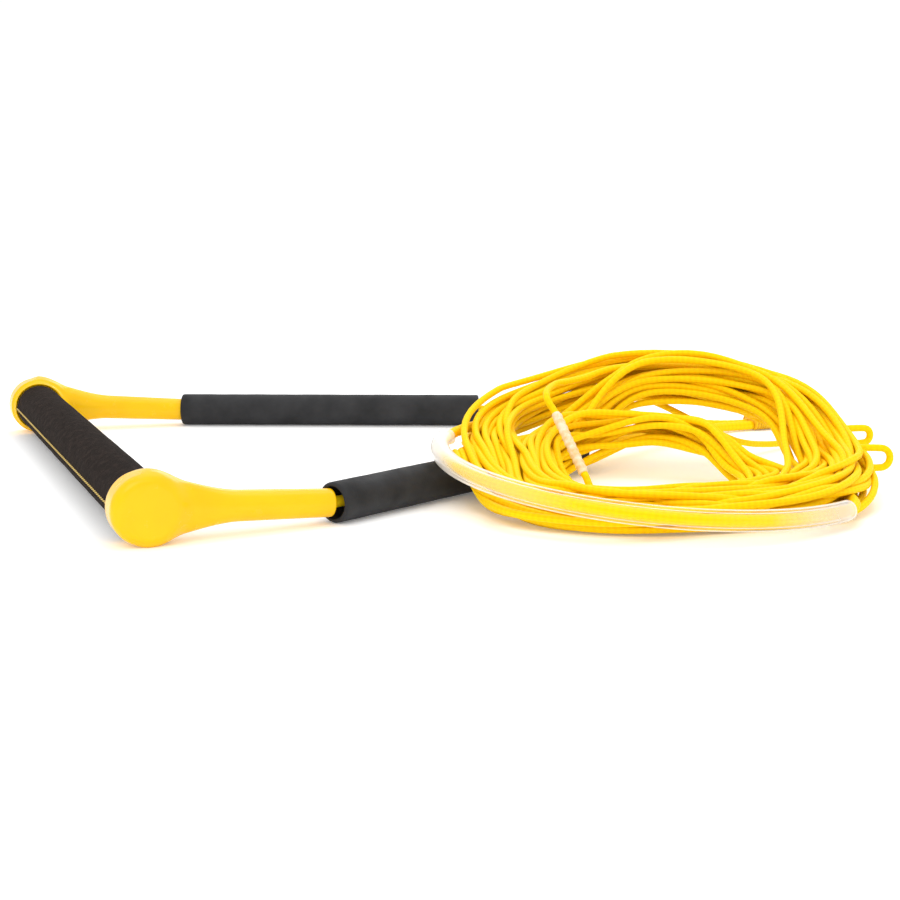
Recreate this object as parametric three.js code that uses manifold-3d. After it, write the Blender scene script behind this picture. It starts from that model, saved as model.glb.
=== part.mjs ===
// Tow rope handle for wakeboarding and water skiing, with its coiled mainline.
// Units are millimetres, +Z is up. The bar lies along Y, the two rope arms run toward +X,
// and everything rests on the plane z = 0. "near" is the -Y end of the bar, "far" the +Y end.

import * as THREE from 'three';
import { mergeVertices } from 'three/addons/utils/BufferGeometryUtils.js';
import Module from 'manifold-3d';

const wasm = await Module();
wasm.setup();

// ---------------------------------------------------------------- driving dimensions

const GAP = 0.3;                    // clearance between touching pieces
const BAR_AXIS_X = -136.06;         // puts the origin under the middle of the handle

// bar and grip
const BAR_LENGTH = 381;             // over the two end caps: a 15 inch handle
const TUBE_RADIUS = 11.1;
const TUBE_WALL = 1.8;
const PLUG_LENGTH = 18;
const UNDERLAY_THICKNESS = 1.5;
const GRIP_RADIUS = 14.5;
const COVER_THICKNESS = 1.3;
const SEAM_THREAD_RADIUS = 0.7;

// moulded end caps
const HEAD_RADIUS = 17.6;
const HEAD_THICKNESS = 19.4;
const HEAD_ROUNDING = 5;
const HEAD_FLAT_RADIUS = 9;
const LIP_LENGTH = 2.5;             // lip that hugs the end of the grip
const MOULD_GAP = 0.4;              // round what the moulding holds
const SOCKET_DEPTH = 12.4;
const NECK_ROOT = 8;                // where the neck leaves the head's outline
const NECK_WAIST = 38;              // where the neck has shrunk to its waist
const NECK_WAIST_RADIUS = 7.9;
const NECK_TIP_RADIUS = 7.3;
const NECK_SIDE_LIMIT = 7.4;        // half the width of the neck across the head, at most
const NECK_TIP = new THREE.Vector3(97, 168.5, 10.5);   // far side, from the bar's middle
const ROPE_BORE = 3.7;
const STOPPER_START = 13;           // along the neck from the head's centre
const STOPPER_LENGTH = 8;
const STOPPER_RADIUS = 5;

// arms
const ARM_ROPE_RADIUS = 3;
const ARM_BEND = 24;                // the gentle bends past the floats take this length each side
const ARM_CORNER = 2.5;             // the rope turns from neck to float this far past the tip
const FLOAT_RADIUS = 10.5;
const FLOAT_LENGTH = 205;
const FLOAT_BORE = 3.9;
const FLOAT_MOUTH_RADIUS = 9.2;
const FLOAT_MOUTH_DEPTH = 9;
const FLOAT_EDGE = 1.2;
const FAR_HEADING = -22.9;          // degrees in plan, 0 is +X
const NEAR_HEADING = 27;
const FAR_TRAVEL = 60;              // how far each float can slide along its rope
const NEAR_TRAVEL = 50;
const SPLICE_START = new THREE.Vector3(450, 4, 5.3);
const SPLICE_LENGTH = 30;
const SPLICE_RADIUS = 5.2;
const SPLICE_ROPE_OFFSET = 3.6;     // the two ropes lie side by side in the splice

// mainline and its coil
const LINE_RADIUS = 2;
const COIL_CENTRE = new THREE.Vector3(290, -160, 0);
const COIL_OUTER = 118;
const COIL_INNER = 56;
const COIL_LOW = 20;                // height at the low side
const COIL_HIGH = 66;               // height at the side where the turns are piled up
const COIL_HIGH_SIDE = 68.2;        // degrees in plan, the direction of that side
const COIL_CLEARANCE = 1.4;         // round what lies in the coil
const TUNNEL_PAST_FLOAT = 40;       // the float's tunnel runs this far past its travel

// tow loop and its clear tube, on one circle in a tilted plane
const LOOP_CENTRE = new THREE.Vector3(279.5, -172.4, 18.9);
const LOOP_RADIUS = 116.4;
const LOOP_TILT = 4.94;             // degrees
const LOOP_UPHILL = 127;            // degrees in plan, the direction in which the loop rises
const LOOP_TUBE_RADIUS = 5.4;
const LOOP_TUBE_BORE = 3.3;
const LOOP_TUBE_FROM = 145;         // degrees round the circle
const LOOP_TUBE_TO = 297;
const LOOP_TRAVEL = 15;             // degrees that the tube can slide round its rope
const LOOP_ROPE_FROM = LOOP_TUBE_FROM - LOOP_TRAVEL - 12;
const LOOP_ROPE_END = new THREE.Vector3(340.8, -269.2, 9.6);
const LOOP_ROPE_RADIUS = 3;

// pieces on the coil
const SLEEVE_TOP = new THREE.Vector3(240.4, -130, 42);
const SLEEVE_BOTTOM = new THREE.Vector3(241.5, -163.8, 14);
const SLEEVE_RADIUS = 2.9;
const SLEEVE_BORE = 2.3;

const AXIS_HEIGHT = HEAD_RADIUS;    // the bar rests on the heads of its end caps
const HEAD_CENTRE_Y = (BAR_LENGTH - HEAD_THICKNESS) / 2;
const HEAD_INNER_Y = HEAD_CENTRE_Y - HEAD_THICKNESS / 2;
const TUBE_END_Y = HEAD_INNER_Y + SOCKET_DEPTH - 0.5;
const GRIP_END_Y = HEAD_INNER_Y - GAP;
const UP = new THREE.Vector3(0, 1, 0);   // the axis that a LatheGeometry turns about

// ---------------------------------------------------------------- materials

const finish = (color, roughness, metalness = 0) =>
  new THREE.MeshStandardMaterial({ color, roughness, metalness });

const materials = {
  cap: finish(0xf5c800, 0.25),
  suede: finish(0x2e2421, 0.95),
  thread: finish(0xe0b030, 0.8),
  foam: finish(0x2b2b2d, 0.85),
  underlay: finish(0x3a3a3c, 0.9),
  aluminium: finish(0xb9bcc0, 0.35, 1),
  plug: finish(0x1d1d1f, 0.8),
  rope: finish(0xffd400, 0.6),
  whipping: finish(0xeeb400, 0.7),
  clearTube: finish(0xf2ead8, 0.15),
  sleeve: finish(0xe9dcc0, 0.4),
};

// ---------------------------------------------------------------- helpers

const rad = THREE.MathUtils.degToRad;
const v2 = (x, y) => new THREE.Vector2(x, y);
const v3 = (x, y, z) => new THREE.Vector3(x, y, z);
const inPlan = (degrees) => v3(Math.cos(rad(degrees)), Math.sin(rad(degrees)), 0);

// A closed BufferGeometry as a manifold solid.
function toSolid(geometry) {
  const plain = geometry.index ? geometry.toNonIndexed() : geometry.clone();
  plain.deleteAttribute('normal');
  plain.deleteAttribute('uv');
  const merged = mergeVertices(plain, 1e-4);
  const vertProperties = new Float32Array(merged.attributes.position.array);
  const whole = Array.from(merged.index.array);
  const triVerts = [];
  for (let i = 0; i < whole.length; i += 3) {
    const [a, b, c] = whole.slice(i, i + 3);
    if (a !== b && b !== c && a !== c) triVerts.push(a, b, c);
  }
  return new wasm.Manifold(
    new wasm.Mesh({ numProp: 3, vertProperties, triVerts: new Uint32Array(triVerts) }));
}

// A manifold solid as a BufferGeometry.
function toGeometry(solid) {
  const mesh = solid.getMesh();
  const geometry = new THREE.BufferGeometry();
  geometry.setAttribute('position', new THREE.BufferAttribute(new Float32Array(mesh.vertProperties), 3));
  geometry.setIndex(new THREE.BufferAttribute(new Uint32Array(mesh.triVerts), 1));
  return geometry;
}

// Turns a lathe's own axis, +Y, to a direction and moves its foot to a point.
function aim(geometry, foot, direction) {
  const turn = new THREE.Quaternion().setFromUnitVectors(UP, direction.clone().normalize());
  return geometry.applyQuaternion(turn).translate(foot.x, foot.y, foot.z);
}

function rod(radius, length, sides = 24) {
  const profile = [v2(0, 0), v2(radius, 0), v2(radius, length), v2(0, length)];
  return new THREE.LatheGeometry(profile, sides);
}

function pipe(outer, inner, length, sides = 32) {
  const profile = [v2(inner, 0), v2(outer, 0), v2(outer, length), v2(inner, length), v2(inner, 0)];
  return new THREE.LatheGeometry(profile, sides);
}

// A quarter round for a lathe profile, from one angle to another about a centre.
function arcPoints(cx, cy, radius, from, to, count = 4) {
  const points = [];
  for (let i = 0; i <= count; i++) {
    const angle = rad(from + ((to - from) * i) / count);
    points.push(v2(cx + radius * Math.cos(angle), cy + radius * Math.sin(angle)));
  }
  return points;
}

// A route of straight stretches, with each corner rounded off over its own trim length.
function roundedRoute(points, trims) {
  const route = new THREE.CurvePath();
  let from = points[0];
  for (let i = 1; i < points.length - 1; i++) {
    const corner = points[i];
    const trim = trims[i - 1];
    const before = corner.clone().add(from.clone().sub(corner).setLength(trim));
    const after = corner.clone().add(points[i + 1].clone().sub(corner).setLength(trim));
    route.add(new THREE.LineCurve3(from, before));
    route.add(new THREE.QuadraticBezierCurve3(before, corner, after));
    from = after;
  }
  route.add(new THREE.LineCurve3(from, points[points.length - 1]));
  return route;
}

function circleShape(radius, sides, start = 0) {
  const shape = new THREE.Path();
  for (let i = 0; i < sides; i++) {
    const angle = start + (i / sides) * 2 * Math.PI;
    shape[i ? 'lineTo' : 'moveTo'](radius * Math.cos(angle), radius * Math.sin(angle));
  }
  shape.closePath();
  return shape;
}

// A round tube, solid or with a bore, along a route.
function alongRoute(route, radius, steps, sides = 10, bore = 0) {
  const section = new THREE.Shape(circleShape(radius, sides).getPoints());
  if (bore) section.holes.push(circleShape(bore, sides));
  return new THREE.ExtrudeGeometry(section, {
    steps, extrudePath: route, bevelEnabled: false, curveSegments: 1,
  });
}

// The circle of the tow loop, between two angles.
class LoopArc extends THREE.Curve {
  constructor(from, to) {
    super();
    this.from = rad(from);
    this.to = rad(to);
  }

  getPoint(t, target = new THREE.Vector3()) {
    const angle = this.from + (this.to - this.from) * t - rad(LOOP_UPHILL);
    const uphill = inPlan(LOOP_UPHILL).multiplyScalar(Math.cos(rad(LOOP_TILT))).setZ(Math.sin(rad(LOOP_TILT)));
    const level = inPlan(LOOP_UPHILL + 90);
    return target.copy(LOOP_CENTRE)
      .addScaledVector(uphill, LOOP_RADIUS * Math.cos(angle))
      .addScaledVector(level, LOOP_RADIUS * Math.sin(angle));
  }
}

const part = new THREE.Group();
const handle = new THREE.Group();
part.add(handle);
handle.position.x = BAR_AXIS_X;

function addMesh(name, geometry, material) {
  const mesh = new THREE.Mesh(geometry, material);
  mesh.name = name;
  handle.add(mesh);
  return mesh;
}

// ---------------------------------------------------------------- bar and grip

function addAlongBar(name, geometry, material, startY) {
  addMesh(name, aim(geometry, v3(0, startY, AXIS_HEIGHT), UP), material);
}

function addBar() {
  const bore = TUBE_RADIUS - TUBE_WALL;
  addAlongBar('bar_tube', pipe(TUBE_RADIUS, bore, 2 * TUBE_END_Y), materials.aluminium, -TUBE_END_Y);
  const plugRadius = bore - GAP;
  const plugEnd = TUBE_END_Y - 0.5;
  addAlongBar('bar_plug_near', rod(plugRadius, PLUG_LENGTH), materials.plug, -plugEnd);
  addAlongBar('bar_plug_far', rod(plugRadius, PLUG_LENGTH), materials.plug, plugEnd - PLUG_LENGTH);

  const underlayInner = TUBE_RADIUS + GAP;
  const underlay = pipe(underlayInner + UNDERLAY_THICKNESS, underlayInner, 2 * GRIP_END_Y);
  addAlongBar('grip_underlay', underlay, materials.underlay, -GRIP_END_Y);
  const cover = pipe(GRIP_RADIUS, GRIP_RADIUS - COVER_THICKNESS, 2 * GRIP_END_Y, 36);
  addAlongBar('grip_cover', cover, materials.suede, -GRIP_END_Y);

  // the seam runs along the side of the grip that faces away from the arms
  const seamHalf = GRIP_END_Y - LIP_LENGTH - 1;
  const seamX = -(GRIP_RADIUS + GAP + SEAM_THREAD_RADIUS);
  const thread = aim(rod(SEAM_THREAD_RADIUS, 2 * seamHalf, 8), v3(seamX, -seamHalf, AXIS_HEIGHT), UP);
  addMesh('grip_seam_thread', thread, materials.thread);
}

// ---------------------------------------------------------------- end caps

const onSide = (point, side) => v3(point.x, point.y * side, point.z);
const headCentre = (side) => v3(0, HEAD_CENTRE_Y * side, AXIS_HEIGHT);
const neckDirection = (side) => onSide(NECK_TIP, side).sub(headCentre(side)).normalize();
const neckLength = NECK_TIP.distanceTo(headCentre(1));

function headSolid(side) {
  const lipInner = GRIP_RADIUS + MOULD_GAP;
  const profile = [
    v2(0, 0), v2(lipInner, 0), v2(lipInner, -LIP_LENGTH), v2(lipInner + 0.9, -LIP_LENGTH),
    v2(HEAD_RADIUS - 0.6, -0.6), v2(HEAD_RADIUS, 0.8),
    ...arcPoints(HEAD_RADIUS - HEAD_ROUNDING, HEAD_THICKNESS - HEAD_ROUNDING - 0.8, HEAD_ROUNDING, 0, 75),
    v2(HEAD_FLAT_RADIUS, HEAD_THICKNESS), v2(0, HEAD_THICKNESS),
  ];
  const outward = v3(0, side, 0);
  const foot = v3(0, HEAD_INNER_Y * side, AXIS_HEIGHT);
  return toSolid(aim(new THREE.LatheGeometry(profile, 32), foot, outward));
}

// The neck is round at its tip and flattened to the head's thickness at its root.
function neckSolid(side) {
  const rootRadius = Math.sqrt(HEAD_RADIUS ** 2 - NECK_ROOT ** 2);
  const flare = new THREE.CubicBezierCurve(
    v2(rootRadius, NECK_ROOT), v2(rootRadius - 4.6, NECK_ROOT + 9),
    v2(NECK_WAIST_RADIUS, NECK_WAIST - 12), v2(NECK_WAIST_RADIUS, NECK_WAIST));
  const profile = [
    v2(0, 0), v2(rootRadius, 0), ...flare.getPoints(8),
    v2(NECK_TIP_RADIUS, neckLength - 3), v2(NECK_TIP_RADIUS - 1, neckLength), v2(0, neckLength),
  ];
  const neck = new THREE.LatheGeometry(profile, 24);
  const position = neck.attributes.position;
  for (let i = 0; i < position.count; i++) {
    const radius = Math.hypot(position.getX(i), position.getZ(i));
    position.setX(i, position.getX(i) * Math.min(1, NECK_SIDE_LIMIT / Math.max(radius, 1)));
  }
  // the lathe's X axis becomes the bar's direction, so the flattening lies across the head
  const along = neckDirection(side);
  const across = v3(0, 1, 0).cross(along).cross(along).negate().normalize();
  const frame = new THREE.Matrix4().makeBasis(across, along, across.clone().cross(along));
  return toSolid(neck.applyMatrix4(frame.setPosition(headCentre(side))));
}

function addEndCap(name, side) {
  const along = neckDirection(side);
  const centre = headCentre(side);
  const place = (distance) => centre.clone().addScaledVector(along, distance);
  const outward = v3(0, side, 0);

  const socketFoot = v3(0, (HEAD_INNER_Y - LIP_LENGTH - 1) * side, AXIS_HEIGHT);
  const socket = aim(rod(TUBE_RADIUS + MOULD_GAP, SOCKET_DEPTH + LIP_LENGTH + 1, 32), socketFoot, outward);
  const pocket = aim(rod(STOPPER_RADIUS + MOULD_GAP, STOPPER_LENGTH + 4), place(STOPPER_START - 3), along);
  const bore = aim(rod(ROPE_BORE, neckLength), place(STOPPER_START), along);
  const moulding = headSolid(side).add(neckSolid(side));
  const hollow = moulding.subtract(toSolid(socket)).subtract(toSolid(pocket)).subtract(toSolid(bore));
  addMesh(`end_cap_${name}`, toGeometry(hollow), materials.cap);

  const stopper = aim(rod(STOPPER_RADIUS, STOPPER_LENGTH, 16), place(STOPPER_START), along);
  addMesh(`rope_stopper_${name}`, stopper, materials.aluminium);
}

// ---------------------------------------------------------------- arms

// Where the arm rope turns from its neck onto its float's axis.
const armCorner = (side) => onSide(NECK_TIP, side).addScaledVector(neckDirection(side), ARM_CORNER);

function floatAxis(side, heading) {
  const direction = inPlan(heading);
  const corner = armCorner(side).setZ(NECK_TIP.z);
  return { direction, mouth: corner.clone().addScaledVector(direction, -ARM_CORNER), corner };
}

function addFloat(name, side, heading) {
  const { direction, mouth } = floatAxis(side, heading);
  const outer = FLOAT_RADIUS - FLOAT_EDGE;
  const profile = [
    v2(FLOAT_MOUTH_RADIUS, 0), v2(outer + 0.9, 0.1), v2(FLOAT_RADIUS, 0.9),
    ...arcPoints(outer, FLOAT_LENGTH - FLOAT_EDGE, FLOAT_EDGE, 0, 90, 3),
    v2(FLOAT_BORE + 0.8, FLOAT_LENGTH), v2(FLOAT_BORE, FLOAT_LENGTH - 1.5),
    v2(FLOAT_BORE, FLOAT_MOUTH_DEPTH), v2(FLOAT_MOUTH_RADIUS, 0),
  ];
  const float = new THREE.LatheGeometry(profile, 24);
  addMesh(`float_${name}`, aim(float, mouth, direction), materials.foam);
}

function armRoute(side, heading, travel) {
  const { direction, mouth, corner } = floatAxis(side, heading);
  const start = headCentre(side).addScaledVector(neckDirection(side), STOPPER_START + STOPPER_LENGTH + GAP);
  const straightEnd = mouth.clone().addScaledVector(direction, FLOAT_LENGTH + travel + 2 + ARM_BEND);
  const entryY = SPLICE_START.y + SPLICE_ROPE_OFFSET * side;
  const lead = v3(SPLICE_START.x - 26, entryY, ARM_ROPE_RADIUS + 0.5);
  const entry = v3(SPLICE_START.x - GAP, entryY, ARM_ROPE_RADIUS + 0.5);
  return roundedRoute([start, corner, straightEnd, lead, entry], [6, ARM_BEND, 20]);
}

function addArm(name, side, heading, travel) {
  addMesh(`bridle_rope_${name}`, alongRoute(armRoute(side, heading, travel), ARM_ROPE_RADIUS, 80, 8),
    materials.rope);
  addFloat(name, side, heading);
}

function addSplice() {
  const outline = new THREE.Shape();
  outline.absarc(SPLICE_ROPE_OFFSET, 0, SPLICE_RADIUS, -Math.PI / 2, Math.PI / 2);
  outline.absarc(-SPLICE_ROPE_OFFSET, 0, SPLICE_RADIUS, Math.PI / 2, (3 * Math.PI) / 2);
  const sleeve = new THREE.ExtrudeGeometry(outline, {
    depth: SPLICE_LENGTH, bevelEnabled: false, curveSegments: 8,
  });
  // the outline's X axis lies along Y, its depth along X
  sleeve.applyMatrix4(new THREE.Matrix4().makeBasis(v3(0, 1, 0), v3(0, 0, 1), v3(1, 0, 0)));
  sleeve.translate(SPLICE_START.x, SPLICE_START.y, SPLICE_START.z);
  addMesh('bridle_splice', sleeve, materials.whipping);
}

// ---------------------------------------------------------------- mainline

// From the splice round to the back of the coil.
const LEADER_ROUTE = [
  [480.8, 4, 5.3], [487, 3.5, 4.8], [495, -0.5, 3.4], [501, -8.5, 2.8], [502.5, -20, 2.8],
  [498, -32, 2.8], [488, -43, 2.8], [474, -51.5, 2.8], [458, -58, 2.8], [441, -64, 3],
  [424, -70.5, 3.8], [408, -77, 5.6], [394.6, -82.8, 8],
].map((p) => v3(...p));

// The coil's height, which rises from its low side to its high side.
function coilHeight(x, y) {
  const uphill = inPlan(COIL_HIGH_SIDE);
  const share = (1 + (x * uphill.x + y * uphill.y) / Math.hypot(x, y)) / 2;
  return COIL_LOW + (COIL_HIGH - COIL_LOW) * share;
}

// A ring of unit height, stretched upward to the coil's height.
function coilGeometry() {
  const profile = [
    v2(COIL_INNER + 4, 0), v2(COIL_OUTER - 4, 0), v2(COIL_OUTER, 0.15), v2(COIL_OUTER, 0.75),
    v2(COIL_OUTER - 8, 0.95), v2(COIL_OUTER - 16, 1), v2(COIL_INNER + 14, 1),
    v2(COIL_INNER + 4, 0.92), v2(COIL_INNER, 0.7), v2(COIL_INNER, 0.15), v2(COIL_INNER + 4, 0),
  ];
  const ring = new THREE.LatheGeometry(profile, 56).rotateX(Math.PI / 2);
  const position = ring.attributes.position;
  for (let i = 0; i < position.count; i++) {
    position.setZ(i, position.getZ(i) * coilHeight(position.getX(i), position.getY(i)));
  }
  return ring.translate(COIL_CENTRE.x, COIL_CENTRE.y, COIL_CENTRE.z);
}

// The coil lies over the near float, against the tow loop, and round the take-off sleeve.
function addCoil() {
  const { direction, mouth } = floatAxis(-1, NEAR_HEADING);
  const floatRun = FLOAT_LENGTH + NEAR_TRAVEL + TUNNEL_PAST_FLOAT;
  const tunnel = aim(rod(FLOAT_RADIUS + COIL_CLEARANCE, floatRun, 20), mouth, direction);
  const channelArc = new LoopArc(LOOP_ROPE_FROM - 0.3, LOOP_TUBE_TO + 4);
  const channel = alongRoute(channelArc, LOOP_TUBE_RADIUS + COIL_CLEARANCE, 30, 12);
  const sleeveLine = SLEEVE_TOP.clone().sub(SLEEVE_BOTTOM);
  const sleeveFoot = SLEEVE_BOTTOM.clone().addScaledVector(sleeveLine, -0.03);
  const nest = aim(rod(SLEEVE_RADIUS + 0.5, sleeveLine.length() * 1.06, 16), sleeveFoot, sleeveLine);
  const coil = toSolid(coilGeometry())
    .subtract(toSolid(tunnel)).subtract(toSolid(channel)).subtract(toSolid(nest));
  addMesh('mainline_coil', toGeometry(coil), materials.rope);
}

function addLeader() {
  const route = new THREE.CatmullRomCurve3(LEADER_ROUTE, false, 'centripetal');
  addMesh('leader_rope', alongRoute(route, LINE_RADIUS, 24, 8), materials.rope);
}

// The tow loop's rope follows the circle and turns into the coil just past the tube.
function addTowLoop() {
  const arc = new LoopArc(LOOP_ROPE_FROM, LOOP_TUBE_TO + 0.6);
  const leave = arc.getPoint(1);
  const heading = arc.getTangent(1);
  const corner = leave.clone().addScaledVector(heading, 8);
  const route = new THREE.CurvePath();
  route.add(arc);
  route.add(new THREE.QuadraticBezierCurve3(leave, corner, LOOP_ROPE_END));
  addMesh('tow_loop_rope', alongRoute(route, LOOP_ROPE_RADIUS, 48, 8), materials.rope);

  const tube = alongRoute(new LoopArc(LOOP_TUBE_FROM, LOOP_TUBE_TO), LOOP_TUBE_RADIUS, 34, 12, LOOP_TUBE_BORE);
  addMesh('tow_loop_tube', tube, materials.clearTube);
}

function addTakeOffSleeve() {
  const line = SLEEVE_TOP.clone().sub(SLEEVE_BOTTOM);
  addMesh('takeoff_sleeve', aim(pipe(SLEEVE_RADIUS, SLEEVE_BORE, line.length(), 16), SLEEVE_BOTTOM, line),
    materials.sleeve);
}

// An eye of rope that stands out of the coil's side, in an upright plane.
function addSectionLoop(name, heading, height, radius) {
  const out = inPlan(heading);
  const place = (distance, z) => COIL_CENTRE.clone().addScaledVector(out, distance).setZ(z);
  const wall = COIL_OUTER + GAP + 0.2;
  const straight = 3;
  const pull = radius * 1.32;
  const route = new THREE.CurvePath();
  route.add(new THREE.LineCurve3(place(wall, height + radius), place(wall + straight, height + radius)));
  route.add(new THREE.CubicBezierCurve3(
    place(wall + straight, height + radius), place(wall + straight + pull, height + radius),
    place(wall + straight + pull, height - radius), place(wall + straight, height - radius)));
  route.add(new THREE.LineCurve3(place(wall + straight, height - radius), place(wall, height - radius)));
  addMesh(`section_loop_${name}`, alongRoute(route, LINE_RADIUS, 14, 8), materials.rope);
}

// ---------------------------------------------------------------- assembly

addBar();
addEndCap('near', -1);
addEndCap('far', 1);
addArm('near', -1, NEAR_HEADING, NEAR_TRAVEL);
addArm('far', 1, FAR_HEADING, FAR_TRAVEL);
addSplice();
addLeader();
addCoil();
addTowLoop();
addTakeOffSleeve();
addSectionLoop('lower', -21.8, 19, 5.5);
addSectionLoop('upper', -9, 27, 4.2);

export default part;
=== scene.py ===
"""Tow rope handle: a bar with a suede grip, moulded end caps, foam floats and the coiled mainline.

Everything is in metres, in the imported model's frame. Sizes come from the frame or from the named
values below.
"""

import math

import bpy
import numpy as np
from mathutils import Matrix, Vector


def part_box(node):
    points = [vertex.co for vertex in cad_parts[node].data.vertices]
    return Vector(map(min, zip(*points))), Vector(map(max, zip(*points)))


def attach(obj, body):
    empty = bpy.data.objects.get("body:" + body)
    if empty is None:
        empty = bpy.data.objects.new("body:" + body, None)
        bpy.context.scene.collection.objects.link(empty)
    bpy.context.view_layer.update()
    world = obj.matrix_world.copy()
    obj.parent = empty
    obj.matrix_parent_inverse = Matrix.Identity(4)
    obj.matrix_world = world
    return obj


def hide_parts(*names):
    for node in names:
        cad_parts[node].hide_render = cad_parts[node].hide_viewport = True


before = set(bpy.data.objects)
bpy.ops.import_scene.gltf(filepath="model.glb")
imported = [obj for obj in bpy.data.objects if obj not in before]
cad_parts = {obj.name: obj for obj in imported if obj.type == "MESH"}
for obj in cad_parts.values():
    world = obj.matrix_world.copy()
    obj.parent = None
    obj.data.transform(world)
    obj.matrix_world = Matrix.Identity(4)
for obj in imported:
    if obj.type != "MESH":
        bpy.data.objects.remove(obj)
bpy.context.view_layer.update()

MM = 0.001
BAR_X = sum(corner.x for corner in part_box("bar_tube")) / 2   # the bar's axis
BAR_Z = sum(corner.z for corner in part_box("bar_tube")) / 2


def at(x, y, z):
    """A point given in metres from the floor under the middle of the bar."""
    return Vector((BAR_X + x, y, z))


# ---------------------------------------------------------------- camera, floor and light

CAMERA_PLACE = at(-0.1502, -0.9481, 0.1824)
CAMERA_HEADING = math.radians(-21.8)       # in plan, from +Y
CAMERA_PITCH = math.radians(10.075)        # downward
CAMERA_LENS = 65.9
FLOOR_HALF = 6.0
FLOOR_GAP = 0.0002                         # keeps the floor off what lies on it


def add_camera():
    data = bpy.data.cameras.new("camera")
    data.lens = CAMERA_LENS
    data.sensor_width = 36
    data.clip_start = 0.01
    camera = bpy.data.objects.new("camera", data)
    camera.location = CAMERA_PLACE
    camera.rotation_euler = (math.pi / 2 - CAMERA_PITCH, 0, CAMERA_HEADING)
    bpy.context.scene.collection.objects.link(camera)
    bpy.context.scene.camera = camera


def add_area(name, place, aim, size, power):
    data = bpy.data.lights.new(name, "AREA")
    data.shape = "RECTANGLE"
    data.size, data.size_y = size
    data.energy = power
    light = bpy.data.objects.new(name, data)
    light.location = place
    light.rotation_euler = (Vector(aim) - Vector(place)).to_track_quat("-Z", "Y").to_euler()
    bpy.context.scene.collection.objects.link(light)


def add_stage():
    mesh = bpy.data.meshes.new("floor")
    corners = [(FLOOR_HALF * x, FLOOR_HALF * y, 0) for x, y in ((-1, -1), (1, -1), (1, 1), (-1, 1))]
    mesh.from_pydata(corners, [], [(0, 1, 2, 3)])
    floor = bpy.data.objects.new("floor", mesh)
    floor.location.z = -FLOOR_GAP
    bpy.context.scene.collection.objects.link(floor)
    floor.data.materials.append(floor_material())

    world = bpy.data.worlds.new("studio")
    world.use_nodes = True
    background = world.node_tree.nodes["Background"]
    background.inputs["Color"].default_value = (1, 1, 1, 1)
    background.inputs["Strength"].default_value = 1.03
    bpy.context.scene.world = world
    bpy.context.scene.view_settings.view_transform = "Standard"
    middle = (0.05, -0.05, 0.02)
    add_area("key_light", (-0.9, -1.3, 1.6), middle, (1.2, 1.2), 8.5)
    add_area("top_light", (0.3, 0.3, 1.9), middle, (1.6, 1.6), 8)
    add_area("rim_light", (0.9, 1.2, 0.9), middle, (1.0, 0.7), 3)


# ---------------------------------------------------------------- materials

# how light goes into the yellow pieces
YELLOW_DEPTH = {"Subsurface Scale": 0.002, "Subsurface Radius": (1.0, 0.5, 0.05)}


class Surface:
    """A procedural material built node by node."""

    def __init__(self, name, roughness=0.5, metallic=0.0):
        self.material = bpy.data.materials.new(name)
        self.material.use_nodes = True
        self.nodes = self.material.node_tree.nodes
        self.links = self.material.node_tree.links
        self.shader = self.nodes["Principled BSDF"]
        self.set(**{"Roughness": roughness, "Metallic": metallic})

    def set(self, **values):
        for socket, value in values.items():
            self.shader.inputs[socket].default_value = value

    def link(self, source, socket):
        self.links.new(source, self.shader.inputs[socket])

    def add(self, kind, **settings):
        node = self.nodes.new(kind)
        for key, value in settings.items():
            if key in node.inputs:
                node.inputs[key].default_value = value
            else:
                setattr(node, key, value)
        return node

    def place(self, scale=(1, 1, 1), source="Object"):
        coordinates = self.add("ShaderNodeTexCoord")
        mapping = self.add("ShaderNodeMapping")
        mapping.inputs["Scale"].default_value = scale
        self.links.new(coordinates.outputs[source], mapping.inputs["Vector"])
        return mapping.outputs["Vector"]

    def noise(self, scale, detail=3, roughness=0.5, vector=None):
        node = self.add("ShaderNodeTexNoise", Scale=scale, Detail=detail, Roughness=roughness)
        self.links.new(vector or self.place(), node.inputs["Vector"])
        return node.outputs["Fac"]

    def ramp(self, source, stops):
        """A colour ramp; a stop that is a plain number is a grey."""
        node = self.add("ShaderNodeValToRGB")
        ramp = node.color_ramp
        while len(ramp.elements) < len(stops):
            ramp.elements.new(0.5)
        for element, (place, colour) in zip(ramp.elements, stops):
            element.position = place
            tone = (colour,) * 3 if isinstance(colour, float) else colour
            element.color = (*tone, 1)
        self.links.new(source, node.inputs["Fac"])
        return node.outputs["Color"]

    def drive(self, socket, source, stops):
        """Sets a socket from a value, through a colour ramp."""
        self.link(self.ramp(source, stops), socket)

    def math(self, operation, a, b=0.0):
        node = self.add("ShaderNodeMath", operation=operation)
        for socket, value in zip(node.inputs, (a, b)):
            if isinstance(value, (int, float)):
                socket.default_value = value
            else:
                self.links.new(value, socket)
        return node.outputs["Value"]

    def bump(self, height, strength, distance=0.001):
        node = self.add("ShaderNodeBump", Strength=strength, Distance=distance)
        self.links.new(height, node.inputs["Height"])
        self.link(node.outputs["Normal"], "Normal")


def floor_material():
    surface = Surface("floor_white", roughness=0.9)
    surface.drive("Base Color", surface.noise(3, 2), [(0.3, 0.985), (0.7, 1.0)])
    surface.set(**{"Emission Strength": 0.13, "Emission Color": (1, 1, 1, 1)})
    return surface.material


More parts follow.
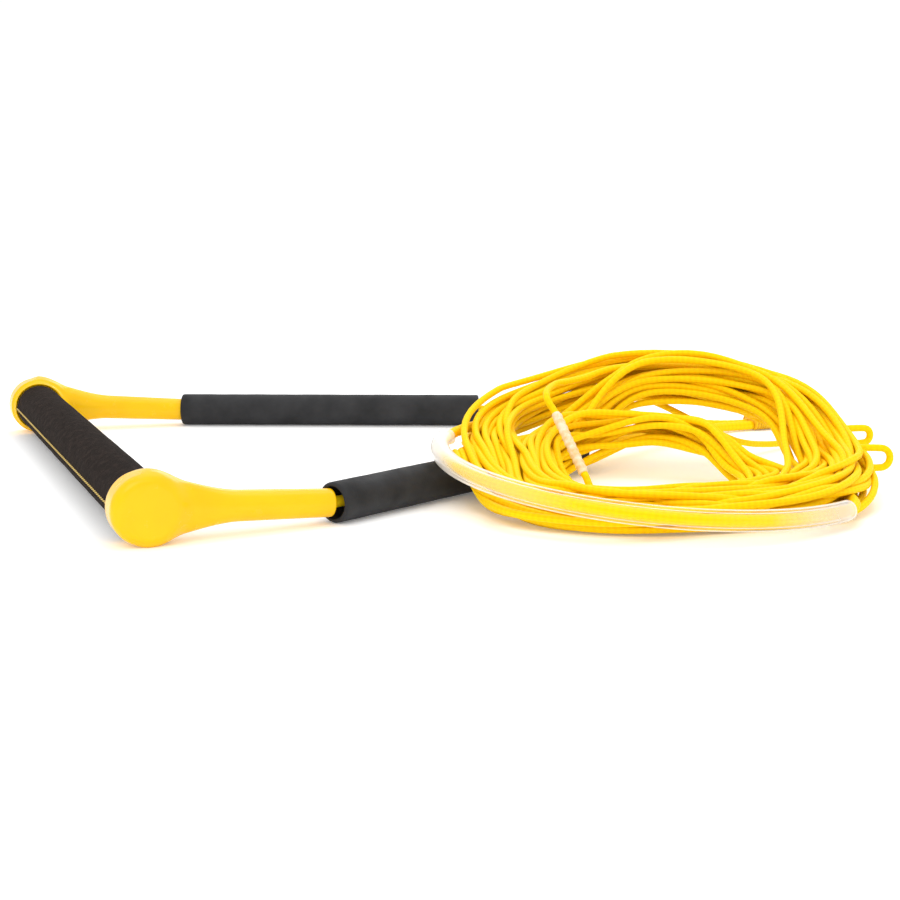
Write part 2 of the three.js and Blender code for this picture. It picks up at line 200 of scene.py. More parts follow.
def rope_material():
    """Bright yellow hollow braid: two sets of strands that cross, fuzzed and a little worn, painted shade in
    its grooves.
    """
    surface = Surface("rope_braid", roughness=0.6)
    surface.set(**{"Subsurface Weight": 0.10, **YELLOW_DEPTH, "Specular IOR Level": 0.1})
    uv = surface.add("ShaderNodeSeparateXYZ")
    coordinates = surface.add("ShaderNodeTexCoord")
    surface.links.new(coordinates.outputs["UV"], uv.inputs["Vector"])
    u, v = uv.outputs["X"], uv.outputs["Y"]
    plus = surface.math("ADD", u, v)
    minus = surface.math("SUBTRACT", u, v)
    left = surface.math("SINE", surface.math("MULTIPLY", plus, 2 * math.pi))
    right = surface.math("SINE", surface.math("MULTIPLY", minus, 2 * math.pi))
    weave = surface.math("MULTIPLY", left, right)
    height = surface.math("ADD", surface.math("MULTIPLY", weave, 0.5), 0.5)
    fibres = surface.noise(900, 4, 0.6)
    mixed = surface.math("ADD", surface.math("MULTIPLY", height, 0.7), surface.math("MULTIPLY", fibres, 0.3))
    # painted shade: the braid's grooves are a deeper orange; the fibres add a random tone
    surface.drive("Base Color", mixed, [
        (0.1, (0.99, 0.58, 0.0)), (0.4, (1.0, 0.64, 0.0)), (0.8, (1.0, 0.69, 0.0)),
    ])
    surface.bump(mixed, 0.25, 0.0004)
    return surface.material


def cap_material():
    """Glossy moulded yellow rubber with a faint orange peel."""
    surface = Surface("cap_moulding", roughness=0.22)
    surface.set(**{"Subsurface Weight": 0.06, **YELLOW_DEPTH, "Specular IOR Level": 0.22})
    surface.set(**{"Coat Weight": 0.06, "Coat Roughness": 0.06})
    surface.drive("Base Color", surface.noise(35, 3), [(0.3, (0.90, 0.50, 0.0)), (0.7, (0.95, 0.56, 0.0))])
    surface.drive("Roughness", surface.noise(120, 5, 0.7), [(0.45, 0.18), (0.75, 0.34)])
    surface.bump(surface.noise(260, 2), 0.08, 0.0004)
    return surface.material


def suede_material():
    """Dark brown suede: a short nap in patches brushed light and dark."""
    surface = Surface("grip_suede", roughness=0.95)
    surface.set(**{"Sheen Weight": 0.03, "Sheen Roughness": 0.6, "Sheen Tint": (0.55, 0.42, 0.36, 1)})
    surface.set(**{"Specular IOR Level": 0.08})
    brushed = surface.noise(260, 4, 0.65, surface.place((1, 0.7, 1)))
    nap = surface.noise(1500, 3, 0.7)
    mixed = surface.math("ADD", surface.math("MULTIPLY", brushed, 0.65), surface.math("MULTIPLY", nap, 0.35))
    surface.drive("Base Color", mixed, [
        (0.36, (0.006, 0.004, 0.003)), (0.5, (0.011, 0.007, 0.0055)), (0.66, (0.028, 0.018, 0.014)),
    ])
    surface.bump(mixed, 0.8, 0.0012)
    return surface.material


def foam_material():
    """Matte black closed-cell foam: fine cells and a few pits."""
    surface = Surface("float_foam", roughness=0.7)
    surface.set(**{"Specular IOR Level": 0.35})
    cells = surface.add("ShaderNodeTexVoronoi", Scale=1400)
    surface.links.new(surface.place(), cells.inputs["Vector"])
    fine = surface.noise(700, 4, 0.6)
    height = surface.math("ADD", surface.math("MULTIPLY", cells.outputs["Distance"], 0.5), fine)
    surface.drive("Base Color", surface.noise(60, 4), [
        (0.3, (0.012, 0.012, 0.013)), (0.7, (0.026, 0.026, 0.028)),
    ])
    surface.drive("Roughness", surface.noise(90, 3), [(0.3, 0.62), (0.7, 0.8)])
    surface.bump(height, 0.25, 0.0004)
    return surface.material


def thread_material():
    surface = Surface("seam_thread", roughness=0.75)
    twist = surface.add("ShaderNodeTexWave", Scale=900, Distortion=2)
    surface.links.new(surface.place(), twist.inputs["Vector"])
    # painted shade: the thread is darker in the grooves of its twist
    surface.drive("Base Color", twist.outputs["Fac"], [(0.2, (0.42, 0.27, 0.05)), (0.8, (0.78, 0.58, 0.18))])
    surface.bump(twist.outputs["Fac"], 0.4, 0.0003)
    return surface.material


def vinyl_material():
    """Clear flexible vinyl: see-through where it faces the eye, with a painted reflection that whitens its
    edges.
    """
    surface = Surface("clear_vinyl", roughness=0.1)
    surface.set(**{"IOR": 1.5, "Specular IOR Level": 0.6})
    surface.drive("Base Color", surface.noise(80, 3), [(0.3, (0.93, 0.88, 0.80)), (0.7, (0.99, 0.97, 0.94))])
    surface.drive("Roughness", surface.noise(150, 4, 0.6), [(0.4, 0.06), (0.75, 0.2)])
    # painted reflection: the tube turns opaque and near white where it is seen edge-on
    weight = surface.add("ShaderNodeLayerWeight", Blend=0.5)
    cover = surface.ramp(weight.outputs["Facing"], [(0.0, 0.0), (0.5, 0.05), (0.76, 0.72), (1.0, 0.94)])
    # the tube is hazier towards its ends
    generated = surface.add("ShaderNodeSeparateXYZ")
    surface.links.new(surface.place(source="Generated"), generated.inputs["Vector"])
    ends = surface.ramp(generated.outputs["X"], [(0.0, 0.12), (0.2, 0.0), (0.66, 0.0), (0.97, 0.36)])
    surface.link(surface.math("MAXIMUM", cover, ends), "Alpha")
    surface.bump(surface.noise(220, 2), 0.06, 0.0004)
    return surface.material


def sleeve_material():
    """Milky sleeve with the rope's yellow showing faintly through."""
    surface = Surface("shrink_sleeve", roughness=0.35)
    surface.set(**{"Specular IOR Level": 0.5})
    surface.drive("Base Color", surface.noise(260, 4, 0.6), [
        (0.35, (0.82, 0.56, 0.24)), (0.6, (0.90, 0.76, 0.55)),
    ])
    surface.bump(surface.noise(500, 3), 0.3, 0.0004)
    return surface.material


def whipping_material():
    surface = Surface("whipping", roughness=0.65)
    cord = surface.add("ShaderNodeTexWave", Scale=160, Distortion=0.6)
    surface.links.new(surface.place((1, 0.02, 0.02)), cord.inputs["Vector"])
    # painted shade: the twine is a deeper orange between its turns
    surface.drive("Base Color", cord.outputs["Fac"], [(0.2, (0.84, 0.46, 0.0)), (0.8, (1.0, 0.64, 0.0))])
    surface.bump(cord.outputs["Fac"], 0.8, 0.0008)
    return surface.material


def metal_material():
    """Drawn aluminium with fine lines along the tube."""
    surface = Surface("drawn_aluminium", roughness=0.35, metallic=1.0)
    lines = surface.noise(900, 3, 0.6, surface.place((1, 0.02, 1)))
    surface.drive("Base Color", lines, [(0.3, (0.62, 0.63, 0.65)), (0.7, (0.78, 0.79, 0.81))])
    surface.drive("Roughness", lines, [(0.3, 0.28), (0.7, 0.42)])
    surface.bump(lines, 0.1, 0.0002)
    return surface.material


def inner_foam_material():
    surface = Surface("inner_foam", roughness=0.85)
    cells = surface.add("ShaderNodeTexVoronoi", Scale=900)
    surface.links.new(surface.place(), cells.inputs["Vector"])
    # painted shade: the foam is darker in the hollows of its cells
    surface.drive("Base Color", cells.outputs["Distance"], [
        (0.1, (0.02, 0.02, 0.022)), (0.7, (0.05, 0.05, 0.055)),
    ])
    surface.bump(cells.outputs["Distance"], 0.4, 0.0005)
    return surface.material


# ---------------------------------------------------------------- mesh helpers

def add_piece(name, vertices, faces, material, body, smooth=True):
    mesh = bpy.data.meshes.new(name)
    mesh.from_pydata([tuple(v) for v in vertices], [], [tuple(f) for f in faces])
    mesh.update()
    piece = bpy.data.objects.new(name, mesh)
    bpy.context.scene.collection.objects.link(piece)
    mesh.materials.append(material)
    if smooth:
        mesh.polygons.foreach_set("use_smooth", [True] * len(mesh.polygons))
    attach(piece, body)
    return piece


def frames_along(path):
    """A tangent and two sides at each point of a path, carried along without twist."""
    tangent = np.gradient(path, axis=0)
    tangent /= np.linalg.norm(tangent, axis=1)[:, None]
    side = np.zeros_like(path)
    start = np.cross(tangent[0], (0, 0, 1))
    if np.linalg.norm(start) < 0.1:
        start = np.cross(tangent[0], (1, 0, 0))
    side[0] = start / np.linalg.norm(start)
    for i in range(1, len(path)):
        moved = side[i - 1] - tangent[i] * (side[i - 1] @ tangent[i])
        side[i] = moved / np.linalg.norm(moved)
    return tangent, side, np.cross(tangent, side)


def hermite(a, leave, b, arrive, t):
    """A smooth stretch from a to b, with its slopes at both ends."""
    return (
        (2 * t**3 - 3 * t**2 + 1) * a + (t**3 - 2 * t**2 + t) * leave
        + (3 * t**2 - 2 * t**3) * b + (t**3 - t**2) * arrive
    )


def cubic(a, b, c, d, t):
    return (1 - t) ** 3 * a + 3 * t * (1 - t) ** 2 * b + 3 * t**2 * (1 - t) * c + t**3 * d


def quadratic(a, b, c, count):
    t = np.linspace(0, 1, count + 1)[:, None]
    return (1 - t) ** 2 * a + 2 * t * (1 - t) * b + t**2 * c


def lengths_along(path):
    """The length of the path up to each of its points."""
    return np.concatenate([[0], np.cumsum(np.linalg.norm(np.diff(path, axis=0), axis=1))])


def line_length(path):
    return float(lengths_along(path)[-1])


def resample(path, step):
    """The path again with evenly spaced points, through a smooth curve."""
    length = lengths_along(path)
    count = max(8, int(round(length[-1] / step)))
    wanted = np.linspace(0, length[-1], count + 1)
    slope = np.gradient(path, length, axis=0)
    i = np.clip(np.searchsorted(length, wanted) - 1, 0, len(path) - 2)
    span = (length[i + 1] - length[i])[:, None]
    t = ((wanted - length[i]) / span[:, 0])[:, None]
    return hermite(path[i], slope[i] * span, path[i + 1], slope[i + 1] * span, t)


def around(sides):
    """The angles of a ring's vertices."""
    return np.arange(sides) / sides * 2 * math.pi


def side_quads(rings, sides):
    """Quads between neighbouring rings of vertices."""
    ring, step = np.meshgrid(np.arange(rings - 1), np.arange(sides), indexing="ij")
    a = (ring * sides + step).ravel()
    b = (ring * sides + (step + 1) % sides).ravel()
    return np.stack([a, b, b + sides, a + sides], 1)


def rod_faces(rings, sides):
    """Faces of a rod: its side and its two ends."""
    last = (rings - 1) * sides
    return side_quads(rings, sides).tolist() + [list(range(sides))[::-1], list(range(last, last + sides))]


def pipe_faces(rings, sides):
    """Faces of a pipe whose inner rings come after its outer ones: two walls and two ends."""
    outer = side_quads(rings, sides)
    first = rings * sides
    i = np.arange(sides)
    j = (i + 1) % sides
    start = np.stack([i, first + i, first + j, j], 1)
    end = start[:, ::-1] + first - sides
    return np.concatenate([outer, outer[:, ::-1] + first, start, end])


def rings_along(path, radii):
    """Rings of vertices round a path, with a radius for each vertex."""
    angle = around(radii.shape[1])
    _, side, up = frames_along(path)
    out = np.cos(angle)[None, :, None] * side[:, None, :] + np.sin(angle)[None, :, None] * up[:, None, :]
    return (path[:, None, :] + radii[..., None] * out).reshape(-1, 3)


def tube_mesh(name, path, radius, material, body, sides=12, pattern=None, bore=0.0):
    """A tube along a path, closed at its ends, and the length up to each of its rings.

    pattern(along, angle) is how far the surface stands out. A bore makes it a pipe.
    """
    along = lengths_along(path)
    radii = np.full((len(path), sides), radius)
    if pattern is not None:
        radii = radii + pattern(along[:, None], around(sides)[None, :])
    vertices = rings_along(path, radii)
    if bore:
        vertices = np.concatenate([vertices, rings_along(path, np.full(radii.shape, bore))])
        faces = pipe_faces(len(path), sides).tolist()
    else:
        faces = rod_faces(len(path), sides)
    return add_piece(name, vertices, faces, material, body), along


def add_uv(piece, along, sides, lay):
    """u counts braid repeats along the rope, v counts the strands around it."""
    mesh = piece.data
    layer = mesh.uv_layers.new(name="UVMap")
    loops = np.zeros(len(mesh.loops), int)
    mesh.loops.foreach_get("vertex_index", loops)
    ring, step = np.divmod(loops, sides)
    ring = np.minimum(ring, len(along) - 1)
    u = along[ring] / lay
    v = step / sides * BRAID_STRANDS
    # the last column of faces closes on the first vertex, so its v runs on to the full turn
    totals = np.zeros(len(mesh.polygons), int)
    mesh.polygons.foreach_get("loop_total", totals)
    owner = np.repeat(np.arange(len(totals)), totals)
    highest = np.full(len(totals), -1)
    np.maximum.at(highest, owner, step)
    wraps = (highest[owner] == sides - 1) & (step == 0) & (totals[owner] == 4)
    v = np.where(wraps, float(BRAID_STRANDS), v)
    layer.data.foreach_set("uv", np.stack([u, v], 1).astype(np.float32).ravel())


def lathe(profile, foot, direction, segments=96):
    """Vertices and faces of a profile [(radius, along)] that closes on itself, turned about a line."""
    axis = np.array(Vector(direction).normalized())
    side = np.array(Vector(direction).orthogonal().normalized())
    up = np.cross(axis, side)
    profile = np.array(profile)
    angle = around(segments)
    out = np.cos(angle)[:, None] * side + np.sin(angle)[:, None] * up
    vertices = (
        np.array(foot)[None, None]
        + profile[None, :, 0, None] * out[:, None, :]
        + profile[None, :, 1, None] * axis[None, None]
    ).reshape(-1, 3)
    count = len(profile)
    faces = []
    for i in range(segments):
        for j in range(count):
            a, b = i * count + j, i * count + (j + 1) % count
            c, d = ((i + 1) % segments) * count + (j + 1) % count, ((i + 1) % segments) * count + j
            faces.append((a, d, c, b))
    return vertices, faces


def rounded_corner(x, y, radius, start, end, count=8):
    angles = np.radians(np.linspace(start, end, count + 1))
    return [(x + radius * math.cos(a), y + radius * math.sin(a)) for a in angles]


# ---------------------------------------------------------------- laying the rope

LINE = 0.0040                        # the mainline's diameter
ARM_ROPE = 0.006
LINE_LAY = 0.0068                    # length of one repeat of its braid
BRAID_STRANDS = 4
COIL = np.array(at(0.290, -0.160, 0))              # middle of the coil
AWAY = np.array((math.sin(-CAMERA_HEADING), math.cos(-CAMERA_HEADING), 0.0))   # its raised side
ACROSS = np.array((AWAY[1], -AWAY[0], 0.0))
UP = np.array((0.0, 0.0, 1.0))
LINE_SPACING = 0.0033                # between the points that settle

# the tow loop's circle, as in the CAD model
LOOP = np.array(at(0.2795, -0.1724, 0.0189))
LOOP_RADIUS = 0.1164
LOOP_TILT = math.radians(4.94)
LOOP_UPHILL = math.radians(127)
LOOP_ROPE_FROM, LOOP_TUBE_FROM, LOOP_TUBE_TO, LOOP_TRAVEL = 118, 145, 297, 15
TUBE_RADIUS, TUBE_BORE = 0.0054, 0.0038
TOW_ROPE_END = np.array(at(0.352, -0.248, 0.0096))

# the leader, from the splice to the coil
LEADER = [
    (0.4808, 0.004, 0.0053), (0.487, 0.0035, 0.0048), (0.495, -0.0005, 0.0034), (0.501, -0.0085, 0.0028),
    (0.5025, -0.020, 0.0028), (0.498, -0.032, 0.0028), (0.488, -0.043, 0.0028), (0.474, -0.0515, 0.0028),
    (0.458, -0.058, 0.0028), (0.441, -0.064, 0.003), (0.424, -0.0705, 0.0038), (0.408, -0.077, 0.0056),
    (0.3946, -0.0828, 0.008),
]

SLEEVE_TOP = np.array(at(0.2404, -0.130, 0.042))
SLEEVE_BOTTOM = np.array(at(0.2415, -0.1638, 0.014))
SLEEVE_RADIUS = 0.0029

# the arms, from the cap necks to the splice; side is -1 near the camera and +1 away from it
NECK_TIP = (0.097, 0.1685, 0.0105)
HEAD_CENTRE = (0, 0.1808, 0.0176)
STOPPER_END = 0.0213
NECK_OVERHANG = 0.0025
FLOAT_LENGTH, FLOAT_RADIUS = 0.205, 0.0105
FLOAT_HEADING = {-1: math.radians(27), 1: math.radians(-22.9)}
FLOAT_TRAVEL = {-1: 0.050, 1: 0.060}
ARM_CLEARANCE = 0.026
SPLICE_START = (0.450, 0.004, 0.0053)
SPLICE_LENGTH, SPLICE_RADIUS = 0.030, 0.0052
SPLICE_OFFSET = 0.0036


def around_loop(degrees):
    """Points of the tow loop's circle."""
    angle = np.radians(np.atleast_1d(degrees)) - LOOP_UPHILL
    cosine, sine = math.cos(LOOP_UPHILL), math.sin(LOOP_UPHILL)
    uphill = np.array((cosine * math.cos(LOOP_TILT), sine * math.cos(LOOP_TILT), math.sin(LOOP_TILT)))
    level = np.array((-sine, cosine, 0.0))
    return LOOP + LOOP_RADIUS * (np.cos(angle)[:, None] * uphill + np.sin(angle)[:, None] * level)


def tow_rope_path():
    """The tow loop's rope: round its circle, then in between the coil's strands."""
    arc = around_loop(np.arange(LOOP_ROPE_FROM, LOOP_TUBE_TO + 0.7, 1.5))
    heading = (arc[-1] - arc[-2]) / np.linalg.norm(arc[-1] - arc[-2])
    return np.concatenate([arc, quadratic(arc[-1], arc[-1] + heading * 0.016, TOW_ROPE_END, 8)[1:]])


def float_direction(side):
    heading = FLOAT_HEADING[side]
    return np.array((math.cos(heading), math.sin(heading), 0.0))


def float_mouth(side):
    """Where the float's rope leaves the cap's neck, and the float begins."""
    tip = np.array((NECK_TIP[0], side * NECK_TIP[1], NECK_TIP[2]))
    head = np.array((HEAD_CENTRE[0], side * HEAD_CENTRE[1], HEAD_CENTRE[2]))
    neck = (tip - head) / np.linalg.norm(tip - head)
    corner = tip + neck * NECK_OVERHANG
    corner[2] = tip[2]
    mouth = corner - float_direction(side) * NECK_OVERHANG
    shift = np.array((BAR_X, 0, 0))
    return head + neck * STOPPER_END + shift, corner + shift, mouth + shift


# Each bundle of turns has its own path round the coil, given every 45 degrees and in millimetres: its
# radius and height, and its half width and half height. 0 degrees is the coil's right side seen along
# AWAY, and 90 degrees its raised side.
BUNDLES = {
    "outer": (
        (96, 104, 107, 106, 90, 98, 92, 97), (16, 38, 50, 33, 13, 8, 8, 10),
        (20, 11, 9, 9, 22, 28, 28, 21), (12, 15, 13, 14, 10, 6, 6, 9),
    ),
    "crest": (
        (90, 98, 87, 73, 76, 92, 92, 92), (20, 46, 50, 16, 12, 7, 8, 9),
        (20, 12, 9, 10, 18, 28, 27, 24), (10, 12, 13, 13, 9, 6, 7, 8),
    ),
    "inner": (
        (48, 44, 47, 61, 68, 80, 77, 64), (13, 24, 29, 21, 14, 8, 8, 9),
        (9, 8, 7, 7, 12, 20, 18, 14), (8, 9, 9, 16, 12, 6, 7, 8),
    ),
}
ORDER = (
    ("outer",) * 6 + ("inner",) * 5 + ("crest",) * 7 + ("outer",) * 6 + ("inner",) * 4
    + ("crest",) * 6 + ("outer",) * 6 + ("inner",) * 3 + ("crest",) * 3 + ("outer",) * 5
)
SLEEVED_TURN = 13                    # the turn that wears the take-off sleeve
STEPS_PER_TURN = 120
FIRST_ANGLE = 112                    # where the first turn starts
LOW_ANGLE = 270                      # in front, where all the bundles lie low
CHANGE = 0.28                        # share of a turn in which it passes to the next bundle
SPREAD_ACROSS, SPREAD_UP = 0.7549, 0.5698   # steps that spread the turns evenly over a bundle
WAVES = ((2, 0.20), (3, 0.13), (5, 0.03))   # waves round a turn, and their share of its bundle
RUN_OUT = 24                         # the last steps, which run into the tow loop


def ring(values, degrees):
    """A smooth closed function of the angle through values given every 45 degrees."""
    values = np.asarray(values, float)
    place = (np.asarray(degrees) % 360) / 45
    i = np.floor(place).astype(int)
    t = place - i
    p0, p1, p2, p3 = (values[(i + k) % 8] for k in (-1, 0, 1, 2))
    square, cube = 2 * p0 - 5 * p1 + 4 * p2 - p3, 3 * p1 - p0 - 3 * p2 + p3
    return 0.5 * (2 * p1 + (p2 - p0) * t + square * t**2 + cube * t**3)


def view_angle(point):
    """A point's angle round the coil, in degrees, on the bundles' scale."""
    arm = np.asarray(point) - COIL
    return math.degrees(math.atan2(arm @ AWAY, arm @ ACROSS)) % 360


def spot(degrees, radius, height):
    """A place over the coil, on the bundles' scale."""
    angle = math.radians(degrees)
    return COIL + radius * (math.cos(angle) * ACROSS + math.sin(angle) * AWAY) + height * UP


def steer(route, degrees, knots):
    """Leads a stretch of the rope smoothly through places at given angles.

    The first and last angle have no place: there it leaves its way and comes back to it.
    """
    angles = np.array([angle for angle, _ in knots], float)
    shift = np.zeros((len(knots), 3))
    for k, (angle, target) in enumerate(knots[1:-1], 1):
        shift[k] = target - route[np.abs(degrees - angle).argmin()]
    slope = np.gradient(shift, angles, axis=0)
    slope[0] = slope[-1] = 0
    inside = (degrees > angles[0]) & (degrees < angles[-1])
    i = np.searchsorted(angles, degrees[inside], "right") - 1
    gap = (angles[i + 1] - angles[i])[:, None]
    t = (degrees[inside] - angles[i])[:, None] / gap
    route[inside] += hermite(shift[i], gap * slope[i], shift[i + 1], gap * slope[i + 1], t)


def coil_turns(rng):
    """The coil's turns as laid by hand, before they settle against each other, and which points are held."""
    turns = len(ORDER)
    loop_start = around_loop(LOOP_ROPE_FROM)[0]
    last = 360 * (turns - 1) + (view_angle(loop_start) - FIRST_ANGLE) % 360
    degrees = FIRST_ANGLE + np.arange(0, last + 0.01, last / round(last / 360 * STEPS_PER_TURN))
    turn = (degrees - FIRST_ANGLE) / 360
    names = list(BUNDLES)
    # a turn passes to the next bundle in front, where all of them lie low
    low_point = (LOW_ANGLE - FIRST_ANGLE) / 360
    crossing = np.maximum(turn - low_point, 0)
    now = np.minimum(crossing.astype(int) + (turn > low_point), turns - 1)
    before = np.maximum(now - 1, 0)
    change = np.clip((crossing - np.floor(crossing)) / CHANGE, 0, 1)
    change = np.where(turn > low_point, change * change * (3 - 2 * change), 1)[:, None]
    tables = np.array([[ring(row, degrees) for row in BUNDLES[name]] for name in names])
    which = np.array([names.index(name) for name in ORDER])
    pick = np.arange(len(turn))
    mixed = tables[which[before], :, pick] * (1 - change) + tables[which[now], :, pick] * change
    across = (0.13 + np.arange(turns + 1) * SPREAD_ACROSS) % 1 * 2 - 1
    upward = (0.41 + np.arange(turns + 1) * SPREAD_UP) % 1 * 2 - 1
    whole = np.minimum(turn.astype(int), turns - 1)
    t = turn - whole
    t = t * t * (3 - 2 * t)
    side = across[whole] * (1 - t) + across[whole + 1] * t
    rise = upward[whole] * (1 - t) + upward[whole + 1] * t
    for wave, size in WAVES:
        phase = rng.uniform(0, 2 * math.pi, 2)
        side = side + size * np.sin(wave * np.radians(degrees) + 2.1 * wave * turn + phase[0])
        rise = rise + size * np.sin(wave * np.radians(degrees) + 1.3 * wave * turn + phase[1])
    side, rise = np.clip(side, -1.1, 1.1), np.clip(rise, -1.1, 1.1)
    radius = mixed[:, 0] + side * mixed[:, 2]
    height = np.maximum(mixed[:, 1] + rise * mixed[:, 3], LINE / 2 / MM)
    angle = np.radians(degrees)[:, None]
    flat = np.cos(angle) * ACROSS + np.sin(angle) * AWAY
    route = COIL + (radius * MM)[:, None] * flat + (height * MM)[:, None] * UP

    # one strand runs straight through the take-off sleeve
    held = np.zeros(len(route), bool)
    top, bottom = view_angle(SLEEVE_TOP), view_angle(SLEEVE_BOTTOM)
    base = 360 * SLEEVED_TURN
    axis = (SLEEVE_BOTTOM - SLEEVE_TOP) / np.linalg.norm(SLEEVE_BOTTOM - SLEEVE_TOP)
    above, below = SLEEVE_TOP - axis * 0.006, SLEEVE_BOTTOM + axis * 0.008
    places = [
        (110, spot(110, 0.084, 0.056)), (140, spot(140, 0.071, 0.054)), (view_angle(above), above),
        (top, SLEEVE_TOP), (bottom, SLEEVE_BOTTOM), (view_angle(below), below),
        (250, spot(250, 0.060, 0.006)), (290, spot(290, 0.072, 0.008)),
    ]
    steer(route, degrees, [(base + angle, place) for angle, place in [(75, None), *places, (335, None)]])
    inside = (degrees > base + top - 1) & (degrees < base + bottom + 1)
    t = ((degrees[inside] - base - top) / (bottom - top))[:, None]
    route[inside] = SLEEVE_TOP * (1 - t) + SLEEVE_BOTTOM * t
    held |= inside

    # the last turn runs into the tow loop's rope
    start, next_one = around_loop([LOOP_ROPE_FROM, LOOP_ROPE_FROM + 1])
    heading = (next_one - start) / np.linalg.norm(next_one - start)
    back = lengths_along(route[-RUN_OUT:][::-1])[::-1]
    share = ((1 - back / back[0]) ** 2 * (1 + 2 * back / back[0]))[:, None]
    route[-RUN_OUT:] = route[-RUN_OUT:] * (1 - share) + (start - heading * back[:, None]) * share
    held[-5:] = True
    return route, held


def near_pairs(points, reach, apart):
    """Pairs of points nearer than reach that are at least apart steps from each other along the rope."""
    cell = np.floor(points / reach).astype(np.int64)
    cell -= cell.min(0)
    span = cell.max(0) + 3
    key = (cell[:, 0] * span[1] + cell[:, 1]) * span[2] + cell[:, 2]
    order = np.argsort(key, kind="stable")
    ranked = key[order]
    found = []
    for x in (-1, 0, 1):
        for y in (-1, 0, 1):
            for z in (-1, 0, 1):
                other = key + (x * span[1] + y) * span[2] + z
                first, last = np.searchsorted(ranked, other, "left"), np.searchsorted(ranked, other, "right")
                count = last - first
                i = np.repeat(np.arange(len(points)), count)
                offset = np.arange(len(i)) - np.repeat(np.cumsum(count) - count, count)
                found.append(np.stack([i, order[np.repeat(first, count) + offset]], 1))
    pairs = np.concatenate(found)
    pairs = pairs[pairs[:, 1] - pairs[:, 0] > apart]
    gap = points[pairs[:, 0]] - points[pairs[:, 1]]
    return pairs[np.einsum("ij,ij->i", gap, gap) < reach * reach]


def nearest_on_line(points, line):
    """Each point's nearest place on a polyline."""
    a, b = line[:-1], line[1:]
    step = b - a
    t = np.clip(
        ((points[:, None] - a) * step).sum(2) / (step * step).sum(1), 0, 1,
    )
    places = a + t[..., None] * step
    gap = np.linalg.norm(points[:, None] - places, axis=2)
    best = gap.argmin(1)
    pick = np.arange(len(points))
    return places[pick, best], gap[pick, best]


def keep_off(points, line, clearance, lift=False):
    """Moves points out of a round bar along a line, or only upwards where they lie over it."""
    place, gap = nearest_on_line(points, line)
    inside = gap < clearance
    if not inside.any():
        return
    if lift:
        flat = np.linalg.norm((points - place)[:, :2], axis=1)
        over = inside & (flat < clearance)
        need = place[:, 2] + np.sqrt(np.maximum(clearance**2 - flat**2, 0))
        points[over, 2] = np.maximum(points[over, 2], need[over])
        return
    away = points[inside] - place[inside]
    away /= np.maximum(np.linalg.norm(away, axis=1), 1e-9)[:, None]
    points[inside] = place[inside] + away * clearance


def smooth_move(move, rounds, held):
    for _ in range(rounds):
        move[1:-1] = 0.25 * move[:-2] + 0.5 * move[1:-1] + 0.25 * move[2:]
        move[held] = 0
    return move


def settle(wanted, held, bars, ridges, rounds):
    """The rope as it was laid, but pushed apart where it crosses itself, off the floor and off the bars."""
    points = wanted.copy()
    touch = LINE * 0.97                    # braided line gives a little where it lies on itself
    for step in range(rounds):
        if step % 6 == 0:
            pairs = near_pairs(points, touch * 1.5, 6)
            i, j = pairs.T
        gap = points[i] - points[j]
        distance = np.linalg.norm(gap, axis=1)
        push = np.maximum(touch - distance, 0) / np.maximum(distance, 1e-9) * 0.5
        move = np.zeros_like(points)
        hits = np.bincount(i, push > 0, len(points)) + np.bincount(j, push > 0, len(points))
        for axis in range(3):
            part = gap[:, axis] * push
            move[:, axis] = np.bincount(i, part, len(points)) - np.bincount(j, part, len(points))
        points += move / np.maximum(hits, 1)[:, None] * 1.4
        pull = 0.03 * (1 - step / rounds)
        points += (wanted - points) * pull
        for line, clearance in bars:
            keep_off(points, line, clearance)
        for line, clearance in ridges:
            keep_off(points, line, clearance, lift=True)
        points[:, 2] = np.maximum(points[:, 2], LINE / 2)
        points[held] = wanted[held]
        points = wanted + smooth_move(points - wanted, 3, held)
    points[:, 2] = np.maximum(points[:, 2], LINE / 2)
    return points


def lay_mainline():
    """The mainline from the splice, through the leader, round the whole coil."""
    rng = np.random.default_rng(7)
    leader = np.array([at(*point) for point in LEADER])
    turns, fixed = coil_turns(rng)
    # the leader runs into the first turn
    join = turns[0]
    lead_in = leader[-1]
    heading = leader[-1] - leader[-2]
    heading /= np.linalg.norm(heading)
    first = turns[1] - turns[0]
    first /= np.linalg.norm(first)
    reach = np.linalg.norm(join - lead_in)
    t = np.linspace(0, 1, 12)[1:-1, None]
    blend = hermite(lead_in, heading * reach, join, first * reach, t)
    whole = np.concatenate([leader, blend, turns])
    fixed = np.concatenate([np.ones(len(leader), bool), np.zeros(len(blend), bool), fixed])
    route = resample(whole, LINE_SPACING)
    reached = lengths_along(whole)
    held = np.interp(np.linspace(0, reached[-1], len(route)), reached, fixed.astype(float)) > 0.5
    tube = around_loop(np.arange(LOOP_TUBE_FROM - LOOP_TRAVEL - 2, LOOP_TUBE_TO + 4, 3))
    tow_rope = around_loop(np.arange(LOOP_ROPE_FROM - 1, LOOP_TUBE_FROM, 3))
    bars = [(tube, TUBE_RADIUS + LINE / 2 + 0.0004), (tow_rope, ARM_ROPE / 2 + LINE / 2)]
    bars.append((tow_rope_path()[-9:], ARM_ROPE / 2 + LINE / 2))
    bars.append((np.array([SLEEVE_TOP, SLEEVE_BOTTOM]), SLEEVE_RADIUS + LINE / 2))
    ridges = []
    for side in (-1, 1):
        mouth = float_mouth(side)[2]
        end = mouth + float_direction(side) * (FLOAT_LENGTH + FLOAT_TRAVEL[side] + 0.004)
        ridges.append((np.array([mouth, end]), FLOAT_RADIUS + LINE / 2 + 0.0005))
        arm = arm_path(side)
        ridges.append((arm[len(arm) // 2:: 4], ARM_ROPE / 2 + LINE / 2 + 0.0002))
    return settle(route, held, bars, ridges, 260)


